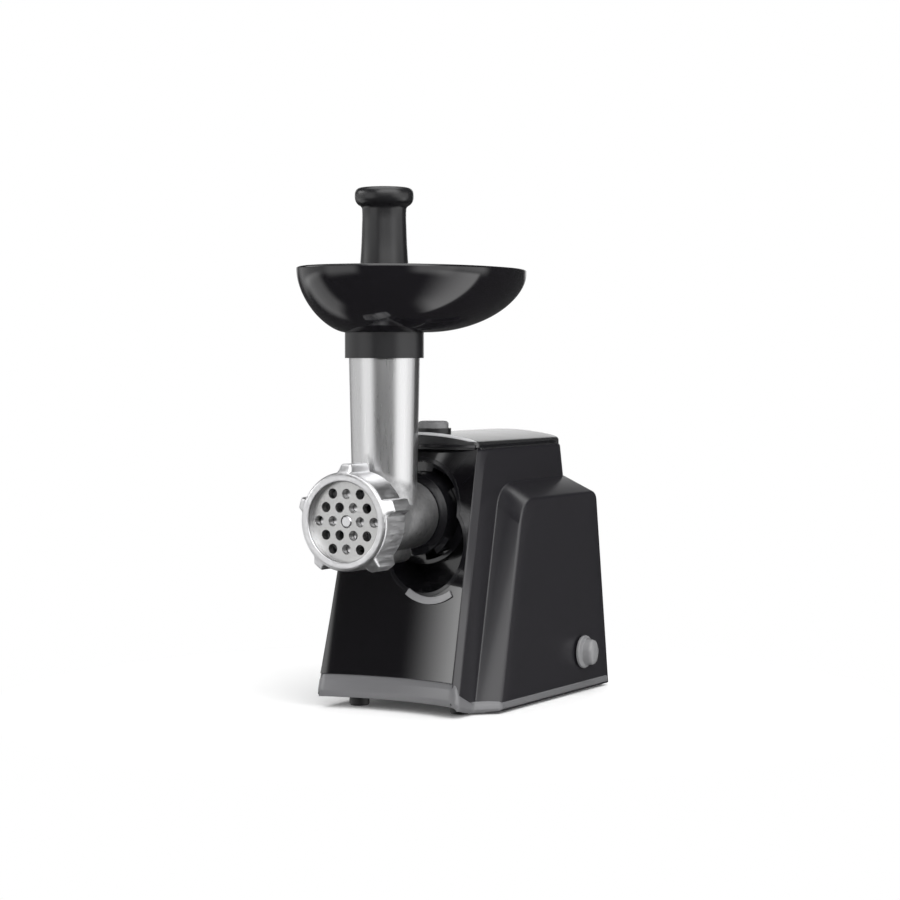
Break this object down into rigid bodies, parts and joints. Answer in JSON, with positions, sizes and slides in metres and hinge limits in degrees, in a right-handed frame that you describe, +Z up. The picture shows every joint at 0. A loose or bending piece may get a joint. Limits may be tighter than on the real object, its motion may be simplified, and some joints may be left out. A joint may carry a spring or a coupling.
{
  "type": "electric meat grinder",
  "caption": "Upright motor housing with a bayonet-mounted barrel and feed tube, oval hopper tray, pusher, ring nut and hole plate for mincing food.",
  "frame": {"origin": "middle of the bounding box, on the worktop plane that the feet stand on", "axes": "+Z up, -Y towards the front where food leaves the hole plate, +X towards the motor bulge with the selector"},
  "size_m": [0.1452, 0.2384, 0.3332],
  "materials": {
    "matte_black": "matte",
    "gloss_black": "gloss",
    "dark_satin": "satin",
    "silver_grey": "satin",
    "silver_button": "satin",
    "cast_aluminium": "brushed",
    "bright_aluminium": "polished",
    "steel": "brushed",
    "rubber": "matte",
    "nylon": "matte",
    "dark_metal": "satin",
    "lamination": "matte",
    "copper": "satin",
    "brass": "satin",
    "yellow_film": "matte",
    "lead_brown": "matte"
  },
  "bodies": {
    "housing": {"socket_cup": "gloss_black", "bayonet_receiver": "dark_metal", "socket_trim": "silver_grey", "front_panel": "gloss_black", "left_shell": "dark_satin", "right_shell": "dark_satin", "trim_line": "silver_grey", "top_cap": "gloss_black", "base_band": "silver_grey", "base_plate": "matte_black", "feet": "rubber", "base_screws": "steel", "gearbox_case": "dark_metal", "gearbox_cover": "dark_metal", "gear_axles": "steel", "output_bushes": "brass", "motor_bearings": "steel", "stator": "lamination", "stator_coils": "copper", "rear_bracket": "dark_metal", "motor_bolts": "steel", "brush_holders": "brass", "brushes": "matte_black", "motor_pads": "rubber", "rotary_switch": "dark_satin", "suppressor": "yellow_film", "internal_leads": "lead_brown", "cord_grommet": "rubber", "button_bezel": "matte_black", "latch_pivot": "steel", "button_spring": "steel"},
    "head": {"head_casting": "cast_aluminium", "bayonet_collar": "matte_black", "collar_screws": "steel", "screw_bush": "nylon", "hole_plate": "steel"},
    "ring": {"ring_nut": "bright_aluminium"},
    "tray": {"hopper_tray": "gloss_black", "tray_collar": "matte_black"},
    "pusher": {"pusher": "matte_black"},
    "drive": {"feed_screw": "cast_aluminium", "cutter": "steel", "drive_hub": "dark_metal", "output_gear": "nylon"},
    "middle_cluster": {"middle_gear": "nylon"},
    "first_cluster": {"first_gear": "nylon"},
    "armature": {"armature_shaft": "steel", "armature_core": "lamination", "armature_windings": "copper", "commutator": "copper", "motor_pinion": "brass", "cooling_fan": "matte_black"},
    "selector": {"selector_knob": "silver_grey"},
    "button": {"release_button": "silver_button"},
    "latch": {"latch_lever": "steel"}
  },
  "joints": [
    {"name": "head_twist", "type": "hinge", "parent": "housing", "child": "head", "pos_m": [-0.00763, -0.0189, 0.1245], "axis": [0, 1, 0], "range_deg": [0, 35]},
    {"name": "ring_unscrew", "type": "hinge", "parent": "head", "child": "ring", "pos_m": [-0.00763, -0.1009, 0.1245], "axis": [0, -1, 0], "range_deg": [0, 720]},
    {"name": "tray_lift", "type": "slide", "parent": "head", "child": "tray", "axis": [0, 0, 1], "range_m": [0, 0.06]},
    {"name": "pusher_lift", "type": "slide", "parent": "head", "child": "pusher", "axis": [0, 0, 1], "range_m": [0, 0.18]},
    {"name": "armature_spin", "type": "hinge", "parent": "housing", "child": "armature", "pos_m": [0.01637, 0.0611, 0.062], "axis": [0, 1, 0], "continuous": true},
    {"name": "first_gear_spin", "type": "hinge", "parent": "housing", "child": "first_cluster", "pos_m": [-0.01135, 0.0211, 0.06191], "axis": [0, 1, 0], "continuous": true},
    {"name": "middle_gear_spin", "type": "hinge", "parent": "housing", "child": "middle_cluster", "pos_m": [-0.0199, 0.0161, 0.09079], "axis": [0, 1, 0], "continuous": true},
    {"name": "drive_spin", "type": "hinge", "parent": "housing", "child": "drive", "pos_m": [-0.00763, 0.0011, 0.1245], "axis": [0, 1, 0], "continuous": true},
    {"name": "selector_turn", "type": "hinge", "parent": "housing", "child": "selector", "pos_m": [0.06213, 0.0791, 0.0275], "axis": [1, 0, 0], "range_deg": [-45, 45]},
    {"name": "button_press", "type": "slide", "parent": "housing", "child": "button", "axis": [0, 0, -1], "range_m": [0, 0.0025], "stiffness_N_per_m": 400, "springref_m": -0.004, "deforming": ["button_spring"]},
    {"name": "latch_rock", "type": "hinge", "parent": "housing", "child": "latch", "pos_m": [-0.00763, -0.0069, 0.1655], "axis": [-1, 0, 0], "range_deg": [0, 24.5]}
  ],
  "couplings": [
    {"joint": "first_gear_spin", "follows": "armature_spin", "ratio": -0.18966},
    {"joint": "middle_gear_spin", "follows": "armature_spin", "ratio": 0.047414},
    {"joint": "drive_spin", "follows": "armature_spin", "ratio": -0.011853},
    {"joint": "latch_rock", "follows": "button_press", "rad_per_m": 166.67}
  ]
}
